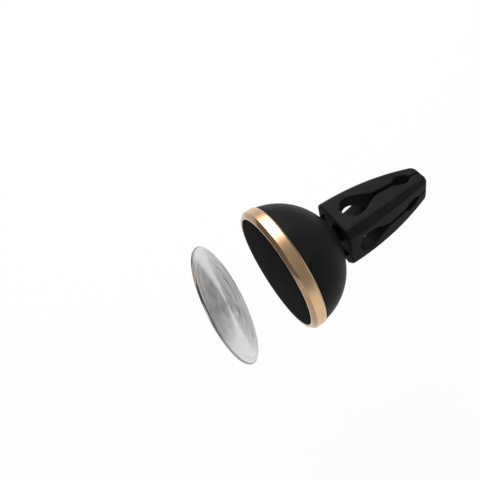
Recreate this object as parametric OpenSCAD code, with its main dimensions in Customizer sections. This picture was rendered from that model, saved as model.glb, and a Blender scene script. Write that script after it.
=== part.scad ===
// Magnetic phone mount for a car air vent: a ball-jointed magnetic head, a rubber
// four-prong vent clip, and the loose steel plate that is stuck to the phone.
// Millimetres. +Y runs from the head to the clip's tip, +Z is the clip's top face.
// The origin is the middle of the narrow throat where the vent blade is gripped.

/* [Magnetic head] */
// Outside diameter of the metal trim ring
ring_od = 32; // [30:0.5:44]
// Length of the trim ring along the head's axis
ring_len = 3.65; // [3:0.05:6]
// Radial wall of the trim ring over the shell's spigot
ring_wall = 1.1; // [0.8:0.05:2]
// Width of the trim ring's inner lip that frames the face pad
ring_lip = 0.4; // [0.2:0.05:0.8]
// How far the face pad stands proud of the ring's lip
pad_proud = 0.15; // [0.05:0.05:0.4]
// Thickness of the rubber face pad
face_pad_t = 0.8; // [0.5:0.1:2]
// Thickness of the adhesive films
film_t = 0.15; // [0.1:0.05:0.4]
// Depth of the head from the pad's face to the dome's rear opening
head_depth = 15.7; // [15:0.1:24]
// Radius of the dome's outer sphere
dome_r = 15.9; // [14:0.1:24]
// Wall of the dome shell
shell_wall = 1.5; // [1.2:0.1:2.5]

/* [Magnets] */
// Number of magnets in the tray
magnet_count = 6; // [4:1:6]
// Diameter of one magnet
magnet_d = 8; // [5:0.5:8.5]
// Thickness of one magnet
magnet_t = 3; // [2:0.1:4]
// Front cover thickness
cover_t = 1; // [0.8:0.1:2]
// Plastic skin between the magnets and the cover
tray_skin = 0.4; // [0.3:0.1:1]
// Thickness of the steel yoke plate behind the magnets
yoke_t = 1; // [0.8:0.1:1.6]

/* [Ball joint] */
// Diameter of the ball
ball_d = 8; // [6.6:0.2:9.6]
// Depth of the ball's centre inside the dome's rear opening
ball_depth = 3.7; // [3.2:0.1:5]
// Diameter of the stem behind the ball
stem_d = 4.4; // [3.6:0.1:5.4]
// Wall of the nylon liner around the ball
liner_t = 0.5; // [0.4:0.05:0.8]
// Outside diameter of the retainer ring that closes the socket
retainer_od = 12; // [11.4:0.1:14.4]
// How far the retainer ring stands out of the dome
retainer_proud = 0.4; // [0.2:0.1:0.8]
// Gap between the dome's rear opening and the clip's front face
neck_gap = 1.8; // [1.8:0.1:4]

/* [Vent clip] */
// Side of the clip's square section at its base
clip_side = 13.3; // [12.6:0.1:18]
// Length of the clip from its front face to the prong tips
clip_len = 26.2; // [25:0.1:36]
// Share of the clip's width lost towards the tip
taper_width = 0.6; // [0.4:0.01:0.65]
// Share of the clip's height lost towards the tip
taper_height = 0.46; // [0.3:0.01:0.6]
// Leg of the bevel along the clip's long edges at its base
clip_bevel = 1.7; // [0.8:0.1:2.4]
// Radius of the round end of the keyhole slot
hole_r = 3; // [2.4:0.1:3.6]
// Distance from the clip's front face to the keyhole slot
hole_start = 2.7; // [2.6:0.1:4]
// Width of the throat that grips the vent blade
throat_w = 0.9; // [0.6:0.1:2]
// Start of the throat, from the clip's front face
throat_start = 12.9; // [11:0.1:15]
// Start of the small tip opening, from the clip's front face
lens_start = 16.8; // [16:0.1:20]
// End of the small tip opening, from the clip's front face
lens_end = 23; // [21:0.1:23.5]
// Width of the small tip opening
lens_w = 2.8; // [1.6:0.1:3]
// Width of the slit between the prongs at the tip
slit_w = 0.3; // [0.2:0.05:0.6]
// Distance from the clip's front face to where the prongs start to flex
jaw_root = 7; // [5:0.1:9]

/* [Steel plate] */
// Diameter of the steel plate
plate_d = 30; // [24:0.5:40]
// Thickness of the steel plate
plate_t = 0.5; // [0.3:0.1:1]
// Angle by which the plate stands open from the face pad
plate_open = 23.7; // [10:0.1:35]
// Direction, around the head, of the side that stands open
plate_dir = 42.6; // [0:0.1:90]
// Distance from the head's axis to the line the plate tips about
plate_reach = 31.5; // [28:0.5:45]
// Distance from the pad's face to that line
plate_lift = 8.6; // [6:0.1:12]

/* [Hidden] */
$fn = 96;

eps = 0.01;
far = 60;
slip = 0.05;   // radial clearance of a running fit
snug = 0.02;   // radial clearance of parts that are held together

// Radii of the head, from the outside in
ring_r = ring_od / 2;
spigot_r = ring_r - ring_wall;
spigot_wall = 1.5;
cover_bore_r = spigot_r - spigot_wall;
insert_r = cover_bore_r - slip;
pad_r = spigot_r - ring_lip - 0.15;
ring_front_chamfer = 0.85;
ring_rear_chamfer = 0.45;

// Stations along the head's axis, from the pad's face towards the clip
cover_z = face_pad_t + film_t;
tray_z = cover_z + cover_t;
magnet_z = tray_z + tray_skin;
yoke_z = magnet_z + magnet_t;
shelf_z = yoke_z + yoke_t;
ring_end_z = pad_proud + ring_len;
dome_start_z = ring_end_z + 0.2;

// Screws between the magnets
pocket_r = magnet_d / 2 + slip;
pocket_web = 0.15;
magnet_ring_r = max(
  insert_r - pocket_r - 0.6,
  (pocket_r + pocket_web / 2) / sin(180 / magnet_count)
);
screw_count = 3;
screw_shank_r = 0.75;
screw_head_r = 1.35;
screw_head_t = 0.9;
screw_len = 6.4;
screw_ring_r = insert_r - screw_head_r - 0.3;
boss_r = 1.9;
boss_len = 3.4;

// Ball socket
ball_r = ball_d / 2;
liner_in_r = ball_r + slip;
liner_out_r = liner_in_r + liner_t;
socket_r = liner_out_r + slip;
socket_bore_r = retainer_od / 2 + slip;
bush_r = socket_bore_r - slip;
dome_rim_r = socket_bore_r + 0.25;
tube_wall = 1.4;
floor_t = 0.6;
floor_z = shelf_z + 0.1;
spring_z = floor_z + floor_t;
ball_z = head_depth - ball_depth;
retainer_end_z = head_depth + retainer_proud;
clip_z = head_depth + neck_gap;
spring_t = 0.25;
spring_rise = 0.5;
cup_z = spring_z + spring_rise;
cup_end_z = ball_z - 0.1;
seat_z = ball_z + 0.1;
seat_end_z = ball_z + ball_d * 0.29;
retainer_z = seat_end_z + 0.1;
stem_r = stem_d / 2;
swing = 18.5;   // half angle of the cone that the head tilts through
mouth_in_r = sqrt(pow(socket_r, 2) - pow(retainer_z - ball_z, 2)) + 0.2;
mouth_out_r = max(
  mouth_in_r + 0.3,
  stem_r / cos(swing) + (retainer_end_z - ball_z) * tan(swing) + 0.2
);
liner_cut = liner_in_r * 0.5;

// Radius at which the liner's sphere crosses a plane in front of the ball
function liner_at(z) = sqrt(max(0, pow(liner_out_r, 2) - pow(ball_z - z, 2)));
floor_hole_r = max(1, liner_at(spring_z) + slip);
washer_hole_r = max(bush_r * 0.45, liner_at(cup_z) + slip);
liner_hole_r = max(1.2, liner_at(floor_z));

// Centre of the dome's sphere, which meets the rear opening's rim
dome_c = head_depth - sqrt(pow(dome_r, 2) - pow(dome_rim_r, 2));

// Clip
half_side = clip_side / 2;
grip_y = (throat_start + lens_start) / 2;
dish_r = half_side - 0.75;
dish_depth = 0.7;
core_front = dish_depth + 0.4;
core_t = 1;
core_side = clip_side - 4;
tail_r = 1.3;
stud_screw_r = 0.8;
stud_screw_head_r = 2.1;
stud_screw_head_t = 1;
stud_screw_len = 4;
jaw_gap = 0.1;
tip_round = 1.6;
edge_round = 0.5;
outline_step = 0.65;
outline_count = ceil(clip_len / outline_step);
pad_y = -grip_y - clip_z;
clip_y = -grip_y;

// Plate
plate_film_r = plate_d / 2 - 1;
plate_film_t = 0.25;
plate_gap = 0.15;
plate_edge = 0.15;

// Head parts are drawn along +Z from the pad's face, and turned onto +Y here.
module head_frame() {
  translate([0, pad_y, 0]) rotate([-90, 0, 0]) children();
}

// Clip parts are drawn along +Y from the clip's front face.
module clip_frame() {
  translate([0, clip_y, 0]) children();
}

module disc(z0, z1, r) {
  translate([0, 0, z0]) cylinder(h = z1 - z0, r = r);
}

// A flat disc with a small bevel on both rims.
module bevelled_disc(z0, z1, r, b) {
  rotate_extrude() polygon([
    [0, z0], [r - b, z0], [r, z0 + b], [r, z1 - b], [r - b, z1], [0, z1]
  ]);
}

module at_screws() {
  for (i = [0 : screw_count - 1]) {
    rotate([0, 0, 90 + i * 360 / screw_count])
      translate([screw_ring_r, 0, 0]) children();
  }
}

function magnet_turn(i) = (i + 0.5) * 360 / magnet_count + 90;

module face_pad() {
  color("#1d1d1f") head_frame() bevelled_disc(0, face_pad_t, pad_r, 0.2);
}

module pad_adhesive() {
  color("#c9c2a8") head_frame() disc(face_pad_t, cover_z, pad_r - 0.25);
}

// Gold ring: inner lip, broad front chamfer, plain band and rear chamfer.
module trim_ring() {
  lip_r = spigot_r - ring_lip;
  color("#d8b083") head_frame() rotate_extrude() polygon([
    [lip_r, pad_proud + 0.1],
    [lip_r + 0.1, pad_proud],
    [ring_r - ring_front_chamfer, pad_proud],
    [ring_r, pad_proud + ring_front_chamfer],
    [ring_r, ring_end_z - ring_rear_chamfer],
    [ring_r - ring_rear_chamfer * 0.8, ring_end_z],
    [spigot_r + snug, ring_end_z],
    [spigot_r + snug, cover_z],
    [lip_r, cover_z]
  ]);
}

module front_cover() {
  color("#26272a") head_frame() bevelled_disc(cover_z, tray_z, insert_r, 0.15);
}

// Plastic tray with blind magnet pockets that open towards the yoke.
module magnet_tray() {
  color("#303236") head_frame() difference() {
    disc(tray_z, yoke_z, insert_r);
    for (i = [0 : magnet_count - 1]) {
      rotate([0, 0, magnet_turn(i)]) translate([magnet_ring_r, 0, 0])
        disc(magnet_z, yoke_z + eps, pocket_r);
    }
    at_screws() {
      disc(tray_z - eps, tray_z + screw_head_t + slip, screw_head_r + slip);
      disc(tray_z - eps, yoke_z + eps, screw_shank_r + slip);
    }
  }
}

module magnet(i) {
  if (i < magnet_count) {
    color("#b9bcc0") head_frame() rotate([0, 0, magnet_turn(i)])
      translate([magnet_ring_r, 0, 0])
      bevelled_disc(magnet_z, yoke_z, magnet_d / 2, 0.2);
  }
}

module yoke_plate() {
  color("#8f9399") head_frame() difference() {
    disc(yoke_z, shelf_z, insert_r);
    at_screws() disc(yoke_z - eps, shelf_z + eps, screw_shank_r + slip);
  }
}

// Self-tapping screws that hold the tray and the yoke in the shell.
module tray_screws() {
  color("#9a9da1") head_frame() at_screws() difference() {
    union() {
      disc(tray_z, tray_z + screw_head_t, screw_head_r);
      disc(tray_z, tray_z + screw_len, screw_shank_r);
    }
    for (a = [0, 90]) rotate([0, 0, a])
      translate([-0.7, -0.15, tray_z - eps]) cube([1.4, 0.3, 0.45]);
  }
}

module dome_ball(r) {
  translate([0, 0, dome_c]) sphere(r = r, $fn = 128);
}

// One moulding: front spigot, domed wall, socket tube and three screw bosses.
module dome_shell() {
  color("#2b2b2d") head_frame() difference() {
    union() {
      difference() {
        union() {
          disc(cover_z, shelf_z, spigot_r);
          translate([0, 0, shelf_z - eps])
            cylinder(h = shell_wall, r1 = spigot_r, r2 = spigot_r - shell_wall);
          intersection() {
            dome_ball(dome_r);
            disc(dome_start_z, head_depth, far);
          }
        }
        intersection() {
          dome_ball(dome_r - shell_wall);
          disc(shelf_z, head_depth, cover_bore_r - 1);
        }
      }
      intersection() {
        dome_ball(dome_r - shell_wall / 2);
        union() {
          disc(floor_z, head_depth - 0.3, socket_bore_r + tube_wall);
          at_screws() disc(shelf_z, shelf_z + boss_len, boss_r);
        }
      }
    }
    disc(cover_z - eps, shelf_z, cover_bore_r);
    disc(spring_z, head_depth + 1, socket_bore_r);
    disc(floor_z - 1, spring_z + eps, floor_hole_r);
    at_screws() disc(shelf_z - eps, tray_z + screw_len + 0.3, screw_shank_r + slip);
    translate([0, 0, head_depth - 0.25])
      cylinder(h = 0.3, r1 = socket_bore_r, r2 = dome_rim_r + 0.05);
  }
}

// Dished spring washer that presses the cup against the liner.
module spring_washer() {
  color("#a7a9ab") head_frame() rotate_extrude() polygon([
    [washer_hole_r, spring_z + spring_rise - spring_t - 0.02],
    [bush_r - 0.3, spring_z],
    [bush_r - 0.3, spring_z + spring_t],
    [washer_hole_r, spring_z + spring_rise - 0.02]
  ]);
}

module pressure_cup() {
  color("#d9d6cc") head_frame() difference() {
    disc(cup_z, cup_end_z, bush_r);
    translate([0, 0, ball_z]) sphere(r = socket_r);
    disc(cup_z - eps, ball_z, 1.6);
  }
}

module seat_ring() {
  color("#d9d6cc") head_frame() difference() {
    disc(seat_z, seat_end_z, bush_r);
    translate([0, 0, ball_z]) sphere(r = socket_r);
  }
}

// Threaded ring that closes the socket. Its mouth flares to let the stem tilt.
module retainer_ring() {
  rim_r = socket_bore_r - snug;
  color("#3a3b3e") head_frame() difference() {
    rotate_extrude() polygon([
      [mouth_in_r, retainer_z],
      [rim_r, retainer_z],
      [rim_r, retainer_end_z - 0.3],
      [rim_r - 0.3, retainer_end_z],
      [mouth_out_r, retainer_end_z]
    ]);
    for (a = [0, 180]) rotate([0, 0, a + 45])
      translate([mouth_out_r + 0.15, -0.4, retainer_end_z - 0.5]) cube([0.8, 0.8, 1]);
  }
}

module ball_liner() {
  color("#efece2") head_frame() difference() {
    translate([0, 0, ball_z]) sphere(r = liner_out_r);
    translate([0, 0, ball_z]) sphere(r = liner_in_r);
    disc(ball_z + liner_cut, ball_z + 2 * ball_r, far);
    disc(ball_z - 2 * ball_r, ball_z, liner_hole_r);
  }
}

// Ball, stem and the tail that passes through the clip's core plate.
module ball_stud() {
  seat = clip_z + core_front;
  tail_end = seat + core_t - 0.05;
  color("#4a4b4e") head_frame() difference() {
    union() {
      translate([0, 0, ball_z]) sphere(r = ball_r);
      disc(ball_z, seat, stem_r);
      disc(ball_z, tail_end, tail_r);
    }
    disc(tail_end - stud_screw_len, tail_end + eps, stud_screw_r + snug);
  }
}

// Stiff plate moulded into the rubber, which the ball stud pulls against.
module clip_core() {
  color("#84888d") clip_frame() difference() {
    translate([-core_side / 2, core_front, -core_side / 2])
      cube([core_side, core_t, core_side]);
    rotate([-90, 0, 0]) disc(0, core_front + core_t + 1, tail_r + snug);
  }
}

module stud_screw() {
  head_y = core_front + core_t;
  color("#9a9da1") clip_frame() rotate([-90, 0, 0]) difference() {
    union() {
      disc(head_y, head_y + stud_screw_head_t, stud_screw_head_r);
      disc(head_y - stud_screw_len + 0.4, head_y + eps, stud_screw_r);
    }
    for (a = [0, 90]) rotate([0, 0, a])
      translate([-1.2, -0.2, head_y + stud_screw_head_t - 0.5]) cube([2.4, 0.4, 1]);
  }
}

// Half of the clip's width or height at a distance y from its front face.
function end_drop(y) =
  let (d = max(0, y - clip_len + tip_round) / tip_round)
  1 - 0.5 * (1 - sqrt(1 - d * d));
function edge_drop(y) =
  let (d = max(0, edge_round - y))
  edge_round - sqrt(pow(edge_round, 2) - d * d);
function tapered(y, taper, power) =
  half_side * (1 - taper * pow(y / clip_len, power)) * end_drop(y) - edge_drop(y);
function half_width(y) = tapered(y, taper_width, 2);
function half_height(y) = tapered(y, taper_height, 2.4);
function half_diagonal(y) =
  (half_width(y) + half_height(y)) * (1 - clip_bevel / clip_side) / sqrt(2);

outline_y = [
  0, edge_round * 0.3, edge_round,
  for (i = [2 : outline_count - 2]) i * clip_len / outline_count,
  clip_len - tip_round * 0.4, clip_len - tip_round * 0.15,
  clip_len - tip_round * 0.04, clip_len
];

// A wall of the given half widths at the outline's stations, thick along Z.
module outline_slab(halves) {
  right = [for (i = [0 : len(halves) - 1]) [halves[i], outline_y[i]]];
  left = [for (i = [len(right) - 1 : -1 : 0]) [-right[i][0], right[i][1]]];
  linear_extrude(height = 2 * clip_side, center = true) polygon(concat(right, left));
}

// Tapering body of square section with its four long edges bevelled.
module clip_body() {
  intersection() {
    outline_slab([for (y = outline_y) half_width(y)]);
    rotate([0, 90, 0]) outline_slab([for (y = outline_y) half_height(y)]);
    rotate([0, 45, 0]) outline_slab([for (y = outline_y) half_diagonal(y)]);
    rotate([0, 135, 0]) outline_slab([for (y = outline_y) half_diagonal(y)]);
  }
}

// Half width of the keyhole slot at a distance y from the front face.
hole_y = hole_start + hole_r;
function slot_half(y) =
  y < throat_start
    ? throat_w / 2 + (hole_r - throat_w / 2)
      * (1 + cos(180 * (y - hole_y) / (throat_start - hole_y))) / 2
    : y < lens_start || y > lens_end
      ? (y > lens_end ? slit_w : throat_w) / 2
      : max(
          (y > (lens_start + lens_end) / 2 ? slit_w : throat_w) / 2,
          lens_w / 2 * sin(180 * (y - lens_start) / (lens_end - lens_start))
        );

taper_steps = 16;
lens_steps = 16;
slot_y = [
  for (i = [0 : taper_steps]) hole_y + (throat_start - hole_y) * i / taper_steps,
  for (i = [0 : lens_steps]) lens_start + (lens_end - lens_start) * i / lens_steps,
  lens_end + eps, clip_len + 1
];

// Outline of the slot: round end, teardrop, throat, small opening and slit.
module slot_outline() {
  right = [for (y = slot_y) [slot_half(y), y]];
  left = [for (i = [len(right) - 1 : -1 : 0]) [-right[i][0], right[i][1]]];
  polygon(concat(right, left));
  translate([0, hole_y]) circle(r = hole_r);
}

module slots() {
  linear_extrude(height = 2 * clip_side, center = true) slot_outline();
  rotate([0, 90, 0]) linear_extrude(height = 2 * clip_side, center = true)
    slot_outline();
}

module clip_base() {
  color("#232325") clip_frame() difference() {
    intersection() {
      clip_body();
      translate([-far / 2, -1, -far / 2]) cube([far, jaw_root + 1, far]);
    }
    slots();
    rotate([-90, 0, 0]) {
      disc(-1, dish_depth, dish_r);
      disc(-1, core_front + eps, stem_r + snug);
      disc(core_front, hole_y, stud_screw_head_r + slip);
    }
    translate([-core_side / 2, core_front, -core_side / 2])
      cube([core_side, core_t, core_side]);
  }
}

// One prong, which flexes outwards from its root.
module jaw(side_x, side_z) {
  root = jaw_root + jaw_gap;
  color("#2a2a2c") clip_frame() difference() {
    intersection() {
      clip_body();
      translate([side_x * far / 2, root + far / 2, side_z * far / 2])
        cube([far, far, far], center = true);
    }
    slots();
  }
}

// Rest position of the plate, tipped open about a line beside the head.
module plate_frame() {
  reach_x = -plate_reach * cos(plate_dir);
  reach_z = -plate_reach * sin(plate_dir);
  pivot = [reach_x, pad_y - plate_lift, reach_z];
  translate(pivot) rotate(a = plate_open, v = [sin(plate_dir), 0, -cos(plate_dir)])
    translate(-pivot) head_frame() children();
}

module metal_plate() {
  color("#c9cacc") plate_frame()
    bevelled_disc(-plate_gap - plate_t, -plate_gap, plate_d / 2, plate_edge);
}

module plate_adhesive() {
  z1 = -plate_gap - plate_t;
  color("#b8322b") plate_frame() disc(z1 - plate_film_t, z1, plate_film_r);
}

face_pad();
pad_adhesive();
trim_ring();
front_cover();
magnet_tray();
magnet(0);  // magnet_1
magnet(1);  // magnet_2
magnet(2);  // magnet_3
magnet(3);  // magnet_4
magnet(4);  // magnet_5
magnet(5);  // magnet_6
yoke_plate();
tray_screws();
dome_shell();
spring_washer();
pressure_cup();
seat_ring();
retainer_ring();
ball_liner();
ball_stud();
clip_core();
stud_screw();
clip_base();
jaw(1, 1);  // jaw_upper_right
jaw(-1, 1);  // jaw_upper_left
jaw(1, -1);  // jaw_lower_right
jaw(-1, -1);  // jaw_lower_left
metal_plate();
plate_adhesive();
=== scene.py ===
# %% [markdown]
# # A magnetic phone mount for a car's air vent
# The mount is a round magnetic head on a ball joint, and a rubber clip with four
# prongs that grips a blade of the vent. A thin steel plate is stuck to the phone
# and snaps onto the head. The engineering model gives every size and every moving
# body. This lesson gives the same pieces their finished surfaces, so it starts
# from that model and never moves it.

# %% Load the engineering model
import math

import bmesh
import bpy
import numpy as np
from mathutils import Matrix, Vector


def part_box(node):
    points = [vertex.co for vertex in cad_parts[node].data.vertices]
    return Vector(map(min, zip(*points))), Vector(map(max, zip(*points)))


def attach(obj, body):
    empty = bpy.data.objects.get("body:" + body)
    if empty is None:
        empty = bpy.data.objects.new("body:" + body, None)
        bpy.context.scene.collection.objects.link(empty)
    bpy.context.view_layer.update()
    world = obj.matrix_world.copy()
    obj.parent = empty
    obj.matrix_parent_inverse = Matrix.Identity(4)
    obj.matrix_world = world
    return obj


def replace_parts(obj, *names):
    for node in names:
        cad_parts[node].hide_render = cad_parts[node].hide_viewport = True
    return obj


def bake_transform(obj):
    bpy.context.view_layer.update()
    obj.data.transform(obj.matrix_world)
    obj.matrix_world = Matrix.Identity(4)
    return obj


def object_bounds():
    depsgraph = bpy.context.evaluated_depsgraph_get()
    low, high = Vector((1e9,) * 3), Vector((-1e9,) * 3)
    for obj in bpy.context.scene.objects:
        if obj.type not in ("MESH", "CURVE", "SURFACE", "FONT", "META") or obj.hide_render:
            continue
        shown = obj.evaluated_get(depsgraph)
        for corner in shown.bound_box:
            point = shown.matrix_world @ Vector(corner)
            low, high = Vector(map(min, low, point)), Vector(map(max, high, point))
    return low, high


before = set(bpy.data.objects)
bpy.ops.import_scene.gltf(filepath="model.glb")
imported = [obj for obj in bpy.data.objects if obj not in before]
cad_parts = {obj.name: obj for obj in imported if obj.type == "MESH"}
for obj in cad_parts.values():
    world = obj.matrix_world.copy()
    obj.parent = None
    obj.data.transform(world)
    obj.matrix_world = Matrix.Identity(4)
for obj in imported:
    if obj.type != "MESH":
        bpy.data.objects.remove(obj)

MM = 0.001
ORIGIN = (0, 0, 0)
cad_low, cad_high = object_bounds()
print("engineering model spans", [round(v / MM, 2) for v in cad_high - cad_low], "mm")

# %% [markdown]
# ## Stations along the mount
# Every turned piece shares one axis, which runs along +Y from the pad's face to
# the clip. Reading the stations from the model's own boxes keeps the surfaces in
# register with it. Only the sections' small sizes are written here, in millimetres.

# %% Measure the stations
pad_low, pad_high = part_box("face_pad")
ring_low, ring_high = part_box("trim_ring")
dome_low, dome_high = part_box("dome_shell")
rim_low, rim_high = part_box("retainer_ring")
_, stud_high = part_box("ball_stud")
base_low, base_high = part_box("clip_base")
_, jaw_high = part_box("jaw_upper_right")

PAD_Y = pad_low.y / MM
CLIP_Y = base_low.y / MM
CLIP_LEN = (jaw_high.y - base_low.y) / MM
HALF_SIDE = base_high.x / MM


def from_pad(point):
    """Distance of a point behind the pad's face, along the mount's axis."""
    return point.y / MM - PAD_Y


print("pad face at", round(PAD_Y, 2), "and clip face at", round(CLIP_Y, 2), "mm")

# %% [markdown]
# ## Shader maths as Python
# A node tree is easier to read as an expression. `Value` wraps one socket, and its
# operators add the Math nodes. Each has its reflected form, so that a number may come
# first. `Finish.node` adds any other node: its settings go in first, because they
# decide which sockets it has, and then its inputs.


# %% Wrap a socket
class Value:
    def __init__(self, finish, socket):
        self.finish = finish
        self.socket = socket

    def math(self, operation, *others):
        inputs = dict(enumerate((self,) + others))
        return self.finish.node("ShaderNodeMath", {"operation": operation}, inputs)

    def __add__(self, other):
        return self.math("ADD", other)

    def __radd__(self, other):
        return self.math("ADD", other)

    def __sub__(self, other):
        return self.math("SUBTRACT", other)

    def __rsub__(self, other):
        inputs = {0: other, 1: self}
        return self.finish.node("ShaderNodeMath", {"operation": "SUBTRACT"}, inputs)

    def __mul__(self, other):
        return self.math("MULTIPLY", other)

    def __rmul__(self, other):
        return self.math("MULTIPLY", other)


# %% Wrap a material
class Finish:
    def __init__(self, name, colour, roughness, **constants):
        self.material = bpy.data.materials.new(name)
        self.material.use_nodes = True
        self.tree = self.material.node_tree
        self.shader = self.tree.nodes["Principled BSDF"]
        self.feed("Base Color", colour)
        self.feed("Roughness", roughness)
        for socket, value in constants.items():
            self.feed(socket.replace("_", " ").title().replace("Ior", "IOR"), value)

    def put(self, value, socket):
        if isinstance(value, Value):
            self.tree.links.new(value.socket, socket)
        elif isinstance(value, tuple) and socket.type == "RGBA":
            socket.default_value = (*value, 1)
        else:
            socket.default_value = value

    def node(self, kind, settings=None, inputs=None, out=0):
        made = self.tree.nodes.new(kind)
        for key, value in (settings or {}).items():
            if key == "stops":
                ends = made.color_ramp.elements
                for i, (place, shade) in enumerate(value):
                    stop = ends[i] if i < 2 else ends.new(place)
                    stop.position = place
                    stop.color = (shade, shade, shade, 1)
            else:
                setattr(made, key, value)
        for key, value in (inputs or {}).items():
            self.put(value, made.inputs[key])
        return Value(self, made.outputs[out])

    def feed(self, socket, value):
        self.put(value, self.shader.inputs[socket])

    def place(self, centre=ORIGIN, tilt=ORIGIN):
        """Object coordinates, moved and turned to a piece's own centre and tilt."""
        where = self.node("ShaderNodeTexCoord", None, None, "Object")
        inputs = {"Vector": where, "Location": centre, "Rotation": tilt}
        return self.node("ShaderNodeMapping", {"vector_type": "TEXTURE"}, inputs)

    def axes(self, where):
        parts = self.node("ShaderNodeSeparateXYZ", None, {0: where})
        outs = parts.socket.node.outputs
        return [Value(self, outs[i]) for i in range(3)]

    def vector(self, x, y, z):
        return self.node("ShaderNodeCombineXYZ", None, {0: x, 1: y, 2: z})

    def noise(self, size_mm, detail=2.0, vector=None):
        where = vector or self.place()
        inputs = {"Vector": where, "Scale": 1 / (size_mm * MM), "Detail": detail}
        return self.node("ShaderNodeTexNoise", {"normalize": True}, inputs)

    def ramp(self, value, *stops):
        return self.node("ShaderNodeValToRGB", {"stops": stops}, {0: value})

    def mix(self, factor, a, b):
        inputs = {0: factor, 6: a, 7: b}
        return self.node("ShaderNodeMix", {"data_type": "RGBA"}, inputs, out=2)

    def vectors(self, operation, inputs):
        return self.node("ShaderNodeVectorMath", {"operation": operation}, inputs)

    def lean(self, direction, amount):
        """Tips the normal by `amount` along a direction in the piece's own space."""
        along = self.vectors("SCALE", {0: direction, 3: amount})
        turning = {"vector_type": "VECTOR", "convert_from": "OBJECT", "convert_to": "WORLD"}
        along = self.node("ShaderNodeVectorTransform", turning, {0: along})
        normal = self.node("ShaderNodeNewGeometry", None, None, "Normal")
        tipped = self.vectors("ADD", {0: normal, 1: along})
        self.feed("Normal", self.vectors("NORMALIZE", {0: tipped}))

    def bump(self, height, depth_mm):
        inputs = {"Height": height, "Distance": depth_mm * MM}
        self.feed("Normal", self.node("ShaderNodeBump", None, inputs))


print("shader wrapper ready")

# %% [markdown]
# ## Black plastic and black rubber
# Five blacks meet on the mount and none is a flat colour. The dome is moulded with
# a fine spark-eroded grain that softens its highlight. The clip and the pad are
# rubber, which is drier and slightly cloudy. The socket's ring and the inner plastic
# are glossier, and the stud is polished. The grain is a fine bump, a tenth to a third
# of a millimetre wide, and the cloudiness is a slow noise in colour and roughness.
# Images could carry both, but noise on Object coordinates has no seams and no maps.

# %% Mix the blacks
CLOUD_MM = 5.0


def black(name, dark, light, rough, grain_mm, depth_mm, level):
    made = Finish(name, dark, rough[0], specular_ior_level=level)
    cloud = made.noise(CLOUD_MM, detail=3.0)
    soft = made.ramp(cloud, (0.3, 0.0), (0.7, 1.0))
    made.feed("Base Color", made.mix(soft, dark, light))
    made.feed("Roughness", rough[0] + soft * (rough[1] - rough[0]))
    made.bump(made.noise(grain_mm), depth_mm)
    return made.material


shell_black = black(
    "soft_touch_shell",
    (0.0130, 0.0130, 0.0134),
    (0.0175, 0.0175, 0.0180),
    rough=(0.44, 0.50),
    grain_mm=0.09,
    depth_mm=0.004,
    level=0.05,
)
clip_black = black(
    "prong_rubber",
    (0.0125, 0.0125, 0.0129),
    (0.0205, 0.0205, 0.0210),
    rough=(0.56, 0.66),
    grain_mm=0.22,
    depth_mm=0.030,
    level=0.06,
)
pad_black = black(
    "pad_rubber",
    (0.0060, 0.0060, 0.0063),
    (0.0085, 0.0085, 0.0089),
    rough=(0.70, 0.80),
    grain_mm=0.11,
    depth_mm=0.008,
    level=0.02,
)
moulded_black = black(
    "moulded_plastic",
    (0.0090, 0.0090, 0.0095),
    (0.0125, 0.0125, 0.0130),
    rough=(0.30, 0.38),
    grain_mm=0.2,
    depth_mm=0.004,
    level=0.25,
)
stud_black = black(
    "polished_stud",
    (0.0080, 0.0080, 0.0084),
    (0.0110, 0.0110, 0.0115),
    rough=(0.18, 0.26),
    grain_mm=0.3,
    depth_mm=0.002,
    level=0.25,
)
print("blacks:", shell_black.name, clip_black.name, pad_black.name)

# %% [markdown]
# ## Turned and brushed metal
# A tool that circles the axis leaves grooves that run round it. Across the grooves
# the surface is uneven, along them it is nearly even, so light spreads into a fan.
# The grooves are noise read in polar coordinates: fine across them and slow along
# them. The gold band's grooves are stacked along the axis, the plate's along the
# radius. They are far finer than a bump map can follow, so each groove tips the
# normal itself, and only across the grooves: that is what makes the fan.


# %% Brush a metal in circles
NARROW_RUN = 0.05
BROAD_RUN = 0.2
BROAD_WIDTH = 5


def turned_metal(name, dark, light, rough, across, groove_mm, steep,
                 centre=ORIGIN, tilt=ORIGIN):
    """`across` says whether the grooves are stacked along the "radius" or the "axis"."""
    made = Finish(name, dark, rough[0], metallic=1.0)
    here = made.place(centre, tilt)
    x, y, z = made.axes(here)
    radius = (x * x + z * z).math("SQRT")
    angle = z.math("ARCTAN2", x)
    step = {"radius": radius, "axis": y}[across]
    narrow = made.vector(step, angle * (NARROW_RUN * MM), 0.0)
    wide = made.vector(step, angle * (BROAD_RUN * MM), 0.0)
    streak = made.noise(groove_mm, vector=narrow)
    broad = made.noise(groove_mm * BROAD_WIDTH, vector=wide)
    made.feed("Base Color", made.mix(broad, dark, light))
    made.feed("Roughness", rough[0] + streak * (rough[1] - rough[0]))
    outward = (0.0, 1.0, 0.0)
    if across == "radius":
        from_axis = made.vectors("SUBTRACT", {0: made.place(), 1: centre})
        outward = made.vectors("NORMALIZE", {0: from_axis})
    made.lean(outward, (streak - 0.5) * steep)
    return made.material


GOLD_DARK, GOLD_LIGHT = (0.64, 0.41, 0.225), (0.82, 0.55, 0.31)
gold_satin = turned_metal(
    "gold_satin",
    GOLD_DARK,
    GOLD_LIGHT,
    rough=(0.30, 0.38),
    across="axis",
    groove_mm=0.05,
    steep=0.8,
)


def polished(name, dark, light, rough):
    made = Finish(name, dark, rough, metallic=1.0)
    cloud = made.noise(1.8, detail=3.0)
    made.feed("Base Color", made.mix(cloud, dark, light))
    made.feed("Roughness", rough + cloud * 0.05)
    return made.material


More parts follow.
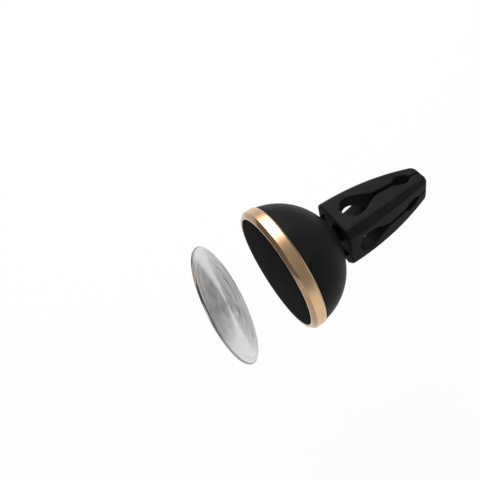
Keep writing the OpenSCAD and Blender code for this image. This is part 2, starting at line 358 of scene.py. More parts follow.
gold_bright = polished("gold_polished", (0.34, 0.21, 0.12), (0.46, 0.30, 0.18), 0.1)
plate_edge = polished("plate_rim", (0.26, 0.26, 0.27), (0.36, 0.36, 0.37), 0.12)
print("metals:", gold_satin.name, gold_bright.name, plate_edge.name)

# %% [markdown]
# ## A lathe made of nodes
# Most of the head is turned: a section is carried round the axis. One Geometry Nodes
# tree does it for every such piece. It takes the section as a closed line of edges,
# makes a curve of it, sweeps it round a circle and joins the seam. Its named inputs
# are the circle's radius, the number of steps round it and the finish. The Screw
# modifier could turn a section too, but a tree also joins the seam and paints.

# %% Build the lathe tree
SEAM_MM = 0.002


def start_tree(name, inputs, output):
    """A Geometry Nodes tree with its named inputs and one output, but no nodes yet."""
    tree = bpy.data.node_groups.new(name, "GeometryNodeTree")
    sockets = tree.interface
    for label, kind in inputs.items():
        sockets.new_socket(label, in_out="INPUT", socket_type="NodeSocket" + kind)
    sockets.new_socket(output, in_out="OUTPUT", socket_type="NodeSocketGeometry")
    return tree


def build_lathe():
    inputs = {
        "Section": "Geometry",
        "Turning radius": "Float",
        "Steps": "Int",
        "Finish": "Material",
    }
    tree = start_tree("lathe", inputs, "Piece")
    add = tree.nodes.new
    link = tree.links.new
    given = add("NodeGroupInput")
    result = add("NodeGroupOutput")
    section = add("GeometryNodeMeshToCurve")
    path = add("GeometryNodeCurvePrimitiveCircle")
    sweep = add("GeometryNodeCurveToMesh")
    join = add("GeometryNodeMergeByDistance")
    real = add("GeometryNodeRealizeInstances")
    paint = add("GeometryNodeSetMaterial")
    join.inputs["Distance"].default_value = SEAM_MM * MM
    link(given.outputs["Section"], section.inputs["Mesh"])
    link(given.outputs["Steps"], path.inputs["Resolution"])
    link(given.outputs["Turning radius"], path.inputs["Radius"])
    link(path.outputs["Curve"], sweep.inputs["Curve"])
    link(section.outputs["Curve"], sweep.inputs["Profile Curve"])
    link(sweep.outputs["Mesh"], join.inputs["Geometry"])
    link(join.outputs["Geometry"], real.inputs["Geometry"])
    link(real.outputs["Geometry"], paint.inputs["Geometry"])
    link(given.outputs["Finish"], paint.inputs["Material"])
    link(paint.outputs["Geometry"], result.inputs["Piece"])
    return tree


lathe = build_lathe()
print("lathe inputs:", [s.name for s in lathe.interface.items_tree])

# %% [markdown]
# ## Sections with rounded corners
# No moulded or turned edge is perfectly sharp, and the thin light line that an edge
# catches is what makes it look real. A Bevel modifier would round all edges alike. So
# a section is a list of corners, each with its own radius, and `rounded` swaps each
# corner for a short arc.


# %% Round a section
def rounded(corners, arc=4):
    points = []
    count = len(corners)
    for i, (radius, along, fillet) in enumerate(corners):
        here = Vector((radius, along))
        if not fillet:
            points.append(here)
            continue
        before = Vector(corners[i - 1][:2]) - here
        after = Vector(corners[(i + 1) % count][:2]) - here
        half = before.angle(after) / 2
        cut = min(fillet / math.tan(half), before.length / 2, after.length / 2)
        size = cut * math.tan(half)
        middle = here + (before.normalized() + after.normalized()).normalized() * (
            size / math.sin(half)
        )
        start = here + before.normalized() * cut - middle
        end = here + after.normalized() * cut - middle
        turn = start.angle_signed(end)
        for k in range(arc + 1):
            points.append(middle + Matrix.Rotation(-turn * k / arc, 2) @ start)
    return points


square = [(0, 0, 1), (10, 0, 1), (10, 10, 1), (0, 10, 1)]
print("a square with rounded corners has", len(rounded(square)), "points")


# %% Make an object from points
def mesh_object(name, points, edges, faces):
    data = bpy.data.meshes.new(name)
    data.from_pydata(points, edges, faces)
    made = bpy.data.objects.new(name, data)
    bpy.context.scene.collection.objects.link(made)
    return made


# %% [markdown]
# ## From modifiers to plain meshes
# A finished piece is an ordinary closed mesh, so every modifier and node tree is run
# once and its result kept. That could wait for the export, but a cut is safer to
# check here. `sharpen` then removes slivers where a cut has left them, turns every
# face outward and marks the edges that should shade as sharp. It prints how many open
# edges are left, which should be none.

# %% Keep what modifiers make
SLIVER_MM = 0.004


def keep_result(made):
    """Swaps an object's modifiers for the plain mesh that they make."""
    graph = bpy.context.evaluated_depsgraph_get()
    result = bpy.data.meshes.new_from_object(made.evaluated_get(graph))
    made.modifiers.clear()
    made.data = result


def bake(made, tree, values):
    """Runs a node tree on an object and keeps only the plain mesh that it makes."""
    modifier = made.modifiers.new(tree.name, "NODES")
    modifier.node_group = tree
    for item in tree.interface.items_tree:
        if item.in_out == "INPUT" and item.name in values:
            modifier[item.identifier] = values[item.name]
    keep_result(made)
    return made


def even_shading(made):
    """Lets the large faces decide how a rounded edge shades."""
    soften = made.modifiers.new("even shading", "WEIGHTED_NORMAL")
    soften.keep_sharp = True


# %% Clean a mesh and mark its sharp edges
def sharpen(made, degrees=32, sliver_mm=0.0):
    shape = bmesh.new()
    shape.from_mesh(made.data)
    if sliver_mm:
        bmesh.ops.remove_doubles(shape, verts=shape.verts, dist=sliver_mm * MM)
        bmesh.ops.dissolve_degenerate(shape, dist=sliver_mm * MM, edges=shape.edges)
        bmesh.ops.triangulate(shape, faces=[f for f in shape.faces if len(f.verts) > 4])
        bmesh.ops.dissolve_degenerate(shape, dist=sliver_mm * MM, edges=shape.edges)
    loose = [edge for edge in shape.edges if not edge.link_faces]
    bmesh.ops.delete(shape, geom=loose, context="EDGES")
    bmesh.ops.recalc_face_normals(shape, faces=shape.faces)
    for face in shape.faces:
        face.smooth = True
    for edge in shape.edges:
        open_edge = len(edge.link_faces) != 2
        edge.smooth = open_edge or edge.calc_face_angle() < math.radians(degrees)
    gaps = sum(len(edge.link_faces) != 2 for edge in shape.edges)
    volume = shape.calc_volume() / MM**3
    shape.to_mesh(made.data)
    shape.free()
    print(f"{made.name}: {len(made.data.polygons)} faces, {gaps} open edges,"
          f" {volume:.1f} mm3")


# %% [markdown]
# ## Turned, then laid over
# The lathe's axis is +Z and the mount's is +Y. A section is drawn flat, turned, and
# then laid over onto the mount's axis. Its vertices move, and the object itself stays
# at the origin, because the finishes are laid out from there.

# %% Turn a section on the lathe
LAID_OVER = Matrix.Rotation(-math.pi / 2, 4, "X")
ONTO_AXIS = Matrix.Translation((0, PAD_Y * MM, 0)) @ LAID_OVER


def turn(name, points, finish, steps=192, turning_radius=20.0):
    """points are (radius, distance along the axis from the pad's face), in mm."""
    flat = [((r - turning_radius) * MM, -d * MM, 0) for r, d in points]
    edges = [(i, (i + 1) % len(flat)) for i in range(len(flat))]
    values = {"Turning radius": turning_radius * MM, "Steps": steps, "Finish": finish}
    return bake(mesh_object(name, flat, edges, []), lathe, values)


def stand(made, sliver_mm=0.0):
    """Lays a piece from the lathe over onto the mount's own axis."""
    made.data.transform(ONTO_AXIS)
    sharpen(made, sliver_mm=sliver_mm)
    even_shading(made)
    return made


# %% [markdown]
# ## The dome
# The dome is one moulding. Outside it has a spigot for the gold ring and a ball-shaped
# wall that closes to the rear opening; inside it has a tube for the ball socket and a
# shelf for the yoke plate. All of that is one closed section, so the lathe makes it in
# one pass. The ball's wall is an arc of many points, and every lip is rounded.

# %% Draw the dome's section
RING_R = ring_high.x / MM
RING_WALL = 1.1
SPIGOT_R = RING_R - RING_WALL
FRONT = from_pad(dome_low)
REAR = from_pad(dome_high)
RING_END = from_pad(ring_high)
RING_GAP = 0.2
DOME_R = 15.9
OPENING_R = 6.3
OPENING_STEP = 0.25
WALL = 1.5
TUBE_R = 7.45
WEB_FRONT, WEB_BACK, WEB_HOLE_R = 6.45, 7.05, 1.0
SHELF, SHELF_R, YOKE_BORE_R = 6.35, 12.4, 13.4
KNEE_SHARE = 0.62
ROOM_FOR_EDGE, ROOM_FOR_LIP = 0.3, 0.35
DOME_MIDDLE = REAR - math.sqrt(DOME_R**2 - OPENING_R**2)


def ball_arc(radius, first, last, count, by_radius=False):
    """Points on a ball about the dome's middle, from distance or radius first to last."""
    points = []
    for k in range(count + 1):
        value = first + (last - first) * k / count
        if by_radius:
            along = DOME_MIDDLE + math.sqrt(radius**2 - value**2)
            points.append((value, along, 0))
        else:
            out = math.sqrt(radius**2 - (value - DOME_MIDDLE) ** 2)
            points.append((out, value, 0))
    return points


def radius_at(along):
    return math.sqrt(DOME_R**2 - (along - DOME_MIDDLE) ** 2)


shoulder = RING_END + RING_GAP
knee = DOME_MIDDLE + DOME_R * KNEE_SHARE
step_r = OPENING_R - OPENING_STEP
spigot = [(SPIGOT_R, FRONT, 0.15), (SPIGOT_R, shoulder, 0)]
shoulder_edge = [(radius_at(shoulder), shoulder, 0.12)]
opening = [(OPENING_R, REAR, 0.2), (step_r, REAR - OPENING_STEP, 0.1)]
web = [(step_r, WEB_BACK, 0), (WEB_HOLE_R, WEB_BACK, 0), (WEB_HOLE_R, WEB_FRONT, 0)]
dome_section = (
    spigot
    + shoulder_edge
    + ball_arc(DOME_R, shoulder + ROOM_FOR_EDGE, knee, 24)
    + ball_arc(DOME_R, radius_at(knee), OPENING_R + ROOM_FOR_LIP, 40, by_radius=True)[1:]
    + opening
    + web
    + [(TUBE_R, WEB_FRONT, 0)]
    + ball_arc(DOME_R - WALL, TUBE_R, SHELF_R, 16, by_radius=True)
    + [(SHELF_R, SHELF, 0), (YOKE_BORE_R, SHELF, 0), (YOKE_BORE_R, FRONT, 0.15)]
)
dome = stand(turn("dome", rounded(dome_section), shell_black, steps=224))

# %% [markdown]
# ## The screw bosses
# Three screws hold the magnet tray in the shell, each in a boss. Bosses repeat at
# even turns, so a small tree places them: a circle of three points, a cylinder on
# each, then real geometry. A ball inside the dome's wall trims their rear ends, and
# the finish comes last. Three cylinders set by hand would do the same, but the tree
# keeps their number and their circle as inputs.


# %% Place the bosses
def build_bosses():
    inputs = {
        "Base": "Geometry",
        "Count": "Int",
        "Circle radius": "Float",
        "Boss radius": "Float",
        "Length": "Float",
        "Start": "Float",
        "Ball radius": "Float",
        "Ball middle": "Float",
        "Finish": "Material",
    }
    tree = start_tree("boss_circle", inputs, "Bosses")
    add = tree.nodes.new
    link = tree.links.new
    given = add("NodeGroupInput")
    result = add("NodeGroupOutput")
    ring = add("GeometryNodeMeshCircle")
    turn_up = add("GeometryNodeTransform")
    move = add("ShaderNodeCombineXYZ")
    boss = add("GeometryNodeMeshCylinder")
    copies = add("GeometryNodeInstanceOnPoints")
    ball = add("GeometryNodeMeshUVSphere")
    ball_place = add("ShaderNodeCombineXYZ")
    ball_move = add("GeometryNodeTransform")
    trim = add("GeometryNodeMeshBoolean")
    real = add("GeometryNodeRealizeInstances")
    paint = add("GeometryNodeSetMaterial")
    boss.inputs["Vertices"].default_value = 32
    ball.inputs["Segments"].default_value = 128
    ball.inputs["Rings"].default_value = 64
    trim.operation = "INTERSECT"
    trim.solver = "EXACT"
    turn_up.inputs["Rotation"].default_value = (0, 0, math.radians(90))
    link(given.outputs["Count"], ring.inputs["Vertices"])
    link(given.outputs["Circle radius"], ring.inputs["Radius"])
    link(ring.outputs["Mesh"], turn_up.inputs["Geometry"])
    link(given.outputs["Start"], move.inputs["Z"])
    link(move.outputs[0], turn_up.inputs["Translation"])
    link(given.outputs["Boss radius"], boss.inputs["Radius"])
    link(given.outputs["Length"], boss.inputs["Depth"])
    link(turn_up.outputs["Geometry"], copies.inputs["Points"])
    link(boss.outputs["Mesh"], copies.inputs["Instance"])
    link(given.outputs["Ball radius"], ball.inputs["Radius"])
    link(given.outputs["Ball middle"], ball_place.inputs["Z"])
    link(ball.outputs["Mesh"], ball_move.inputs["Geometry"])
    link(ball_place.outputs[0], ball_move.inputs["Translation"])
    # One socket takes both meshes, and what they share is kept.
    link(ball_move.outputs["Geometry"], trim.inputs["Mesh 2"])
    link(copies.outputs["Instances"], real.inputs["Geometry"])
    link(real.outputs["Geometry"], trim.inputs["Mesh 2"])
    link(trim.outputs["Mesh"], paint.inputs["Geometry"])
    link(given.outputs["Finish"], paint.inputs["Material"])
    link(paint.outputs["Geometry"], result.inputs["Bosses"])
    return tree


BOSS_LEN = 6.0
BOSS_R = 1.9
BOSS_CIRCLE_R = 11.7
bosses = bake(
    mesh_object("dome_bosses", [], [], []),
    build_bosses(),
    {
        "Count": 3,
        "Circle radius": BOSS_CIRCLE_R * MM,
        "Boss radius": BOSS_R * MM,
        "Length": BOSS_LEN * MM,
        "Start": (SHELF + BOSS_LEN / 2) * MM,
        "Ball radius": (DOME_R - WALL / 2) * MM,
        "Ball middle": DOME_MIDDLE * MM,
        "Finish": shell_black,
    },
)
stand(bosses, sliver_mm=SLIVER_MM)
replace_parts(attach(dome, "head"), "dome_shell")
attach(bosses, "head")

# %% [markdown]
# ## The gold ring
# The ring is turned aluminium, anodised champagne. Its front has a thin flat lip and
# a broad polished chamfer, its side is a satin band, and its rear edge is a narrow
# polished chamfer. A tube with a Bevel would have equal chamfers, so the lathe makes
# the shape too. Afterwards each face takes the satin or the polished finish from where
# it lies along the axis.

# %% Turn and finish the ring
LIP = from_pad(ring_low)
LIP_LAP, LIP_FLAT, LIP_EDGE = 0.4, 0.32, 0.05
FRONT_CHAMFER = 0.85
REAR_CHAMFER, REAR_SLOPE = 0.45, 0.8
RING_FIT = 0.02
ring_section = [
    (SPIGOT_R - LIP_LAP, LIP + LIP_EDGE, 0.05),
    (SPIGOT_R - LIP_FLAT, LIP, 0.05),
    (RING_R - FRONT_CHAMFER, LIP, 0.09),
    (RING_R, LIP + FRONT_CHAMFER, 0.12),
    (RING_R, RING_END - REAR_CHAMFER, 0.10),
    (RING_R - REAR_CHAMFER * REAR_SLOPE, RING_END, 0.08),
    (SPIGOT_R + RING_FIT, RING_END, 0),
    (SPIGOT_R + RING_FIT, FRONT, 0),
    (SPIGOT_R - LIP_LAP, FRONT, 0),
]
gold_ring = stand(turn("gold_ring", rounded(ring_section), gold_satin, steps=256))
gold_ring.data.materials.append(gold_bright)
for face in gold_ring.data.polygons:
    along = from_pad(face.center)
    if not LIP + FRONT_CHAMFER < along < RING_END - REAR_CHAMFER:
        face.material_index = 1
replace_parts(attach(gold_ring, "head"), "trim_ring")

# %% [markdown]
# ## The rubber face
# The face is a thin rubber disc that stands a hair proud of the ring. It has a flat
# middle and a softly rolled rim, so its section has a large fillet at the front. The
# points partway across keep the rim's shading off the flat.

# %% Turn the rubber face
PAD_R = pad_high.x / MM
PAD_T = (pad_high.y - pad_low.y) / MM
PAD_PARTWAY = PAD_R * 0.5
pad_section = [
    (0, 0, 0),
    (PAD_PARTWAY, 0, 0),
    (PAD_R, 0, 0.22),
    (PAD_R, PAD_T, 0.1),
    (PAD_PARTWAY, PAD_T, 0),
    (0, PAD_T, 0),
]
rubber_face = stand(turn("rubber_face", rounded(pad_section, arc=6), pad_black))
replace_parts(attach(rubber_face, "head"), "face_pad")

# %% [markdown]
# ## The socket's retaining ring
# A dark plastic ring closes the socket. Its polished rim is the thin light arc round
# the neck, and its mouth flares so that the stem can lean. On the lathe that flare is
# just one slanting line of the section.

# %% Turn the retaining ring
RIM_OUT = rim_high.x / MM
RIM_START = from_pad(rim_low)
RIM_END = from_pad(rim_high)
RIM_CHAMFER = 0.3
MOUTH_IN = 4.112
MOUTH_OUT = 4.412
rim_section = [
    (MOUTH_IN, RIM_START, 0),
    (RIM_OUT, RIM_START, 0),
    (RIM_OUT, RIM_END - RIM_CHAMFER, 0.1),
    (RIM_OUT - RIM_CHAMFER, RIM_END, 0.1),
    (MOUTH_OUT, RIM_END, 0.12),
]
socket_rim = stand(turn("socket_rim", rounded(rim_section), moulded_black))
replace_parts(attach(socket_rim, "head"), "retainer_ring")

# %% [markdown]
# ## The ball stud
# A ball, a stem and a thin tail are one turned piece, with a pilot hole for the screw
# up the tail. A ball joined to cylinders would need Booleans, and one section needs
# none. Its ball is an arc of points, as the dome's wall is.

# %% Turn the stud
BALL_R = 4.0
BALL_MIDDLE = 12.0
STEM_R = 2.2
STEM_END = 18.6
TAIL_R = 1.3
TAIL_END = from_pad(stud_high)
PILOT_R, PILOT_DEEP = 0.82, 4.0
BALL_POINTS = 48
stem_meets = math.asin(STEM_R / BALL_R)
stud_section = [
    (BALL_R * math.sin(a), BALL_MIDDLE - BALL_R * math.cos(a), 0)
    for a in np.linspace(0, math.pi - stem_meets, BALL_POINTS)
] + [
    (STEM_R, STEM_END, 0.1),
    (TAIL_R, STEM_END, 0),
    (TAIL_R, TAIL_END, 0.05),
    (PILOT_R, TAIL_END, 0),
    (PILOT_R, TAIL_END - PILOT_DEEP, 0),
    (0, TAIL_END - PILOT_DEEP, 0),
]
stud = stand(turn("stud", rounded(stud_section), stud_black, steps=128))
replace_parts(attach(stud, "clip"), "ball_stud")

# %% [markdown]
# ## The clip's shape as a rule
# The clip is one block of rubber: a square bar that tapers to the tip, with bevelled
# long edges. A keyhole slot is cut through it twice, top to bottom and side to side,
# and leaves four prongs. At any distance from the front face a prong's section is a
# five-sided figure: two slot walls, two outer faces and the bevel. So one prong is a
# loft of such sections, and the other three are its mirror images.

# %% State the clip's rule
BEVEL = 1.7
# Each taper is the share of the half side lost at the tip, and the power of its curve.
TAPER_WIDE, TAPER_TALL = (0.6, 2.0), (0.46, 2.4)
TIP_ROUND, TIP_SHARE = 1.6, 0.5
HOLE_R, HOLE_START = 3.0, 2.7
HOLE_Y = HOLE_START + HOLE_R
THROAT_W, THROAT_START = 0.9, 12.9
LENS_START, LENS_END, LENS_W = 16.8, 23.0, 2.8
SLIT_W = 0.3
FRONT_ROUND = 0.5


def tapered(y, taper, power):
    """Half the clip's width or height, with the tip and the front edge rounded."""
    end = max(0.0, y - CLIP_LEN + TIP_ROUND) / TIP_ROUND
    edge = max(0.0, FRONT_ROUND - y)
    size = HALF_SIDE * (1 - taper * (y / CLIP_LEN) ** power)
    size *= 1 - TIP_SHARE * (1 - math.sqrt(max(0.0, 1 - end * end)))
    return size - (FRONT_ROUND - math.sqrt(FRONT_ROUND**2 - edge**2))


def slot_half(y):
    """Half the width of the keyhole slot, from the end of its round part on."""
    if y < THROAT_START:
        turn_of = math.cos(math.pi * (y - HOLE_Y) / (THROAT_START - HOLE_Y))
        return THROAT_W / 2 + (HOLE_R - THROAT_W / 2) * (1 + turn_of) / 2
    if y < LENS_START:
        return THROAT_W / 2
    if y > LENS_END:
        return SLIT_W / 2
    middle = (LENS_START + LENS_END) / 2
    floor = (SLIT_W if y > middle else THROAT_W) / 2
    swell = math.sin(math.pi * (y - LENS_START) / (LENS_END - LENS_START))
    return max(floor, LENS_W / 2 * swell)


def prong_stations():
    """(distance from the front face, half the slot's width) along a prong."""
    front = [(y, 0.0) for y in (0, 0.04, 0.12, 0.25, 0.5, 1.2, 1.9, HOLE_START)]
    turns = np.linspace(0, math.pi / 2, 22)[1:]
    hole = [(HOLE_Y - HOLE_R * math.cos(a), HOLE_R * math.sin(a)) for a in turns]
    rest = [np.linspace(HOLE_Y, THROAT_START, 26)[1:]]
    rest.append(np.linspace(THROAT_START, LENS_START, 8)[1:])
    rest.append(np.linspace(LENS_START, LENS_END, 26)[1:])
    rest.append(np.linspace(LENS_END, CLIP_LEN - TIP_ROUND, 4)[1:])
    ends = np.sin(np.linspace(0, math.pi / 2, 9)[1:])
    rest.append(CLIP_LEN - TIP_ROUND + TIP_ROUND * ends)
    return front + hole + [(y, slot_half(y)) for y in np.concatenate(rest)]


def prong_section(y, slot):
    wide, tall = tapered(y, *TAPER_WIDE), tapered(y, *TAPER_TALL)
    reach = (wide + tall) * (1 - BEVEL / (2 * HALF_SIDE))
    return [(slot, slot), (wide, slot), (wide, reach - wide), (reach - tall, tall),
            (slot, tall)]


stations = prong_stations()
print(len(stations), "stations; widest section", prong_section(1.0, 0.0)[2])

# %% [markdown]
# ## Four prongs
# The rubber is one piece on the real clip, but each prong flexes with its own body.
# So the clip is split at its two middle planes into four closed quarters, which meet
# there without a gap. Every edge except those on the middle planes gets a rounded
# bevel.

# %% Loft one prong
CORNERS = 5
EDGE_ROUND = 0.28
EDGE_DEGREES = 30


def loft_prong(name, side_x, side_z):
    points, faces = [], []
    for y, slot in stations:
        for x, z in prong_section(y, slot):
            points.append((side_x * x * MM, (CLIP_Y + y) * MM, side_z * z * MM))
    for ring in range(len(stations) - 1):
        for side in range(CORNERS):
            a, b = (ring * CORNERS + k for k in (side, (side + 1) % CORNERS))
            faces.append((a, b, b + CORNERS, a + CORNERS))
    faces.append(tuple(range(CORNERS)))
    faces.append(tuple(range(len(points) - CORNERS, len(points))))
    made = mesh_object(name, points, [], faces)
    made.data.materials.append(clip_black)
    return made


def round_edges(made):
    """Bevels each long edge of a prong, but leaves the edges on the middle planes."""
    shape = bmesh.new()
    shape.from_mesh(made.data)
    bmesh.ops.recalc_face_normals(shape, faces=shape.faces)
    weight = shape.edges.layers.float.new("bevel_weight_edge")
    for edge in shape.edges:
        sharp = edge.calc_face_angle(0) > math.radians(EDGE_DEGREES)
        middle = all(min(abs(v.co.x), abs(v.co.z)) < 0.001 * MM for v in edge.verts)
        along = abs(edge.verts[0].co.y - edge.verts[1].co.y) > 1e-9
        edge[weight] = 1.0 if sharp and along and not middle else 0.0
    shape.to_mesh(made.data)
    shape.free()
    modifier = made.modifiers.new("edges", "BEVEL")
    modifier.limit_method = "WEIGHT"
    modifier.width = EDGE_ROUND * MM
    modifier.segments = 3
    modifier.use_clamp_overlap = False
    keep_result(made)


# %% [markdown]
# ## The hollows in the clip's front
# The front face is dished to clear the dome, bored for the stem, and holds a stiff
# plate and a screw. Their pockets are cut with Booleans, the usual way to cut a
# simple hollow in a shape that is already finished.


# %% Cut the hollows
BEFORE_FACE = -1.0
DISH_DEEP, DISH_EDGE = 0.7, 0.75
STEM_FIT, BORE_LAP = 0.05, 0.1
SCREW_POCKET_R = 2.15
core_low, core_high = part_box("clip_core")
CORE_FRONT = core_low.y / MM - CLIP_Y
CORE_END = core_high.y / MM - CLIP_Y


def cutter(name, start, end, radius):
    """A plain cylinder on the axis, between two distances from the clip's face."""
    front = CLIP_Y - PAD_Y
    shape = [(0, start), (radius, start), (radius, end), (0, end)]
    points = [Vector((r, along + front)) for r, along in shape]
    made = turn(name, points, clip_black, steps=96)
    made.data.transform(ONTO_AXIS)
    sharpen(made)
    return made


def box_cutter(name, half, start, end):
    """A square block on the axis, between two distances from the clip's face."""
    made = mesh_object(name, [], [], [])
    shape = bmesh.new()
    bmesh.ops.create_cube(shape, size=2)
    middle = Matrix.Translation((0, (CLIP_Y + (start + end) / 2) * MM, 0))
    scale = Matrix.Diagonal((half * MM, (end - start) / 2 * MM, half * MM, 1))
    bmesh.ops.transform(shape, matrix=middle @ scale, verts=shape.verts)
    shape.to_mesh(made.data)
    shape.free()
    return made


hollows = [
    cutter("dish", BEFORE_FACE, DISH_DEEP, HALF_SIDE - DISH_EDGE),
    cutter("stem_bore", BEFORE_FACE, CORE_FRONT + BORE_LAP, STEM_R + STEM_FIT),
    cutter("screw_pocket", CORE_FRONT, HOLE_Y, SCREW_POCKET_R),
    box_cutter("core_pocket", core_high.x / MM, CORE_FRONT, CORE_END),
]


def hollow_out(made):
    for hollow in hollows:
        cut = made.modifiers.new(hollow.name, "BOOLEAN")
        cut.operation = "DIFFERENCE"
        cut.solver = "EXACT"
        cut.object = hollow
    keep_result(made)


# %% Finish the four prongs
PRONG_SHARP = 40
prongs = {
    "ur": (1, 1, "jaw_upper_right"),
    "ul": (-1, 1, "jaw_upper_left"),
    "lr": (1, -1, "jaw_lower_right"),
    "ll": (-1, -1, "jaw_lower_left"),
}
for short, (side_x, side_z, node) in prongs.items():
    prong = loft_prong("prong_" + short, side_x, side_z)
    round_edges(prong)
    hollow_out(prong)
    sharpen(prong, PRONG_SHARP, SLIVER_MM)
    even_shading(prong)
    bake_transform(prong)
    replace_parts(prong, "clip_base", node)
for hollow in hollows:
    bpy.data.objects.remove(hollow)

# %% [markdown]
# ## The phone's steel plate
# The plate is a thin disc, turned on its face, with a bright coined rim. It stands
# tipped open beside the head, so it is turned on the lathe and then carried to the
# engineering model's own plate, whose face gives the centre and the tilt.


# %% Measure the tilted plate
def plane_of(node):
    """Centre and outward direction of a thin disc, from its own vertices."""
    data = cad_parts[node].data
    corners = np.array([v.co for v in data.vertices])
    centre = (corners.max(0) + corners.min(0)) / 2
    spread = np.linalg.svd(corners - corners.mean(0), full_matrices=False)[2]
    direction = spread[2] * np.sign(spread[2][1])
    return Vector(centre), Vector(direction)


def lay_on(made, centre, direction, half_thickness):
    """Carries a disc from the lathe to a centre, with its axis along `direction`."""
    tilt = Vector((0, 1, 0)).rotation_difference(direction).to_matrix().to_4x4()
    back = Matrix.Translation((0, -half_thickness * MM, 0))
    made.data.transform(Matrix.Translation(centre) @ tilt @ back @ LAID_OVER)
    sharpen(made)
    even_shading(made)
    return made


plate_centre, plate_out = plane_of("metal_plate")
print("plate centre", plate_centre / MM, "faces", plate_out)

# %% [markdown]
# The turned grooves run round the plate's own centre, which isn't the model's origin.
# Its material therefore moves and turns Object coordinates with a Mapping node before
# it reads them, so that the grooves stay centred on the plate.

# %% Turn the plate
PLATE_R, PLATE_T = 14.96, 0.48
PLATE_PARTWAY = PLATE_R * 0.6
COINED, COIN_STEP = 0.34, 0.14
tilt = Vector((0, 1, 0)).rotation_difference(plate_out).to_euler()
plate_steel = turned_metal(
    "plate_turned",
    (0.62, 0.62, 0.63),
    (0.88, 0.88, 0.89),
    rough=(0.18, 0.24),
    across="radius",
    groove_mm=0.05,
    steep=8.0,
    centre=tuple(plate_centre),
    tilt=tuple(tilt),
)
plate_section = [
    (0, 0, 0),
    (PLATE_PARTWAY, 0, 0),
    (PLATE_R, 0, 0.12),
    (PLATE_R, PLATE_T - COIN_STEP, 0.06),
    (PLATE_R - COINED, PLATE_T, 0.08),
    (PLATE_PARTWAY, PLATE_T, 0),
    (0, PLATE_T, 0),
]
plate = turn("steel_plate", rounded(plate_section), plate_steel, steps=256)
plate.data.materials.append(plate_edge)
for face in plate.data.polygons:
    out_from_axis = math.hypot(face.center.x, face.center.y) / MM
    face.material_index = 1 if out_from_axis > PLATE_R - COINED else 0
lay_on(plate, plate_centre, plate_out, PLATE_T / 2)
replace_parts(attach(plate, "plate"), "metal_plate")

# %% [markdown]
# ## The parts inside
# Behind the face lie a cover, six magnets in a tray, a yoke and three screws, and in
# the neck a washer, a cup, a seat and a liner. The engineering model has their right
# shapes, so they keep them and only get finishes: nickel, zinc, spring steel, moulded
# plastic and milky acetal.


# %% Finish the parts inside
def plain(name, dark, light, rough, **constants):
    made = Finish(name, dark, rough, **constants)
    cloud = made.noise(2.4, detail=3.0)
    made.feed("Base Color", made.mix(cloud, dark, light))
    made.feed("Roughness", rough + cloud * 0.08)
    made.bump(made.noise(0.25), depth_mm=0.004)
    return made.material


nickel = polished("nickel", (0.56, 0.55, 0.53), (0.66, 0.65, 0.62), 0.2)
zinc = plain("zinc", (0.42, 0.43, 0.45), (0.58, 0.59, 0.61), 0.36, metallic=1.0)
spring = polished("spring_steel", (0.42, 0.43, 0.44), (0.5, 0.51, 0.52), 0.25)
acetal = plain("acetal", (0.70, 0.69, 0.65), (0.77, 0.76, 0.72), 0.38)
film = plain("clear_film", (0.50, 0.46, 0.35), (0.58, 0.54, 0.42), 0.5)
tape = plain("tape_foam", (0.40, 0.40, 0.39), (0.48, 0.48, 0.47), 0.6)
inside = {
    moulded_black: ["front_cover", "magnet_tray"],
    nickel: ["magnet_%d" % (i + 1) for i in range(6)],
    zinc: ["yoke_plate", "tray_screws", "clip_core", "stud_screw"],
    spring: ["spring_washer"],
    acetal: ["pressure_cup", "seat_ring", "ball_liner"],
    film: ["pad_adhesive"],
    tape: ["plate_adhesive"],
}
for finish, nodes in inside.items():
    for node in nodes:
        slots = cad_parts[node].data.materials
        slots.clear()
        slots.append(finish)
print("finished", sum(len(nodes) for nodes in inside.values()), "inner parts")

# %% [markdown]
# ## Floor, world and lamps
# The mount floats over a white floor, as a catalogue shows it. The floor is white to
# the camera and to reflections, and darkens only slightly where the mount shades it.
# A soft key lamp hangs above the mount's far side, a dimmer one fills from the pad's
# side, and a plain grey world fills the rest.

# %% Make the floor
FLOOR_DROP = 45 * MM
FLOOR_SIZE = 3.0
FLOOR_GLOW = 0.93


def backdrop(name):
    made = bpy.data.materials.new(name)
    made.use_nodes = True
    tree = made.node_tree
    add = tree.nodes.new
    paint = tree.nodes["Principled BSDF"]
    paint.inputs["Base Color"].default_value = (0.9, 0.9, 0.9, 1)
    paint.inputs["Roughness"].default_value = 0.9
    paint.inputs["Specular IOR Level"].default_value = 0.0
    glow = add("ShaderNodeEmission")
    blend = add("ShaderNodeMixShader")
    share = add("ShaderNodeMath")
    share.operation = "MULTIPLY"
    share.inputs[1].default_value = FLOOR_GLOW
    tree.links.new(seen_rays(tree), share.inputs[0])
    tree.links.new(share.outputs[0], blend.inputs[0])
    tree.links.new(paint.outputs[0], blend.inputs[1])
    tree.links.new(glow.outputs[0], blend.inputs[2])
    tree.links.new(blend.outputs[0], tree.nodes["Material Output"].inputs[0])
    return made


def seen_rays(tree):
    """1 for rays from the camera, off a glossy surface or through a clear one."""
    rays = tree.nodes.new("ShaderNodeLightPath")
    either = rays.outputs["Is Camera Ray"]
    for label in ("Is Glossy Ray", "Is Transmission Ray"):
        pick = tree.nodes.new("ShaderNodeMath")
        pick.operation = "MAXIMUM"
        tree.links.new(either, pick.inputs[0])
        tree.links.new(rays.outputs[label], pick.inputs[1])
        either = pick.outputs[0]
    return either


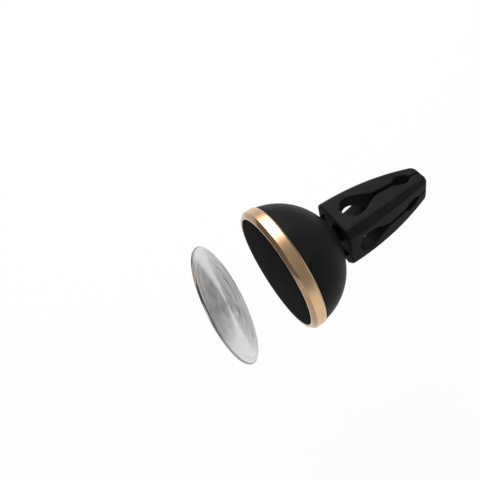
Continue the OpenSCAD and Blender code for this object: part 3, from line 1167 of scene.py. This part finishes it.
floor_z = cad_low.z - FLOOR_DROP
signs = ((-1, -1), (1, -1), (1, 1), (-1, 1))
corners = [(x * FLOOR_SIZE, y * FLOOR_SIZE, floor_z) for x, y in signs]
floor = mesh_object("floor", corners, [], [(0, 1, 2, 3)])
floor.data.materials.append(backdrop("white_sweep"))
print("floor at", round(floor_z / MM, 1), "mm")

# %% Make the world
WORLD_GREY = 0.3
world = bpy.data.worlds.new("studio")
bpy.context.scene.world = world
world.use_nodes = True
sky = world.node_tree.nodes["Background"]
sky.inputs["Color"].default_value = (WORLD_GREY, WORLD_GREY, WORLD_GREY, 1)
print("world grey", WORLD_GREY)

# %% Hang the lamps
mount_middle = (cad_low + cad_high) / 2


def lamp(name, direction, distance, size, power):
    """A rectangular lamp that faces the mount; sizes in metres, power in watts."""
    data = bpy.data.lights.new(name, "AREA")
    data.shape = "RECTANGLE"
    data.size, data.size_y = size
    data.energy = power
    made = bpy.data.objects.new(name, data)
    bpy.context.scene.collection.objects.link(made)
    aim = Vector(direction).normalized()
    made.location = mount_middle + aim * distance
    made.rotation_euler = aim.to_track_quat("Z", "Y").to_euler()
    return made


lamp("key", (-0.6, 0.12, 0.8), distance=0.5, size=(0.22, 0.36), power=2.3)
lamp("fill", (0.5, -0.8, 0.9), distance=0.6, size=(0.3, 0.3), power=0.5)
print("lamps:", [lamp_data.name for lamp_data in bpy.data.lights])

# %% [markdown]
# ## The camera
# The camera looks down on the mount from the pad's side, so that the pad, the top of
# the clip and the bright face of the plate all show. Its place and its two image
# directions fix it completely.

# %% Place the camera
LENS, SENSOR = 48.0, 36.0
EYE = Vector((81.830, -60.875, 124.745)) * MM
RIGHT = Vector((0.50192, 0.84077, -0.20295))
DOWN = Vector((0.62341, -0.51432, -0.58893))
view = bpy.data.cameras.new("view")
view.lens, view.sensor_width = LENS, SENSOR
view.clip_start, view.clip_end = 0.005, 20
camera = bpy.data.objects.new("view", view)
bpy.context.scene.collection.objects.link(camera)
turned = Matrix((RIGHT, -DOWN, RIGHT.cross(-DOWN))).transposed()
camera.matrix_world = Matrix.Translation(EYE) @ turned.to_4x4()
bpy.context.scene.camera = camera
bpy.context.scene.view_settings.view_transform = "Standard"
print("camera", round((EYE - mount_middle).length / MM), "mm from the mount's middle")
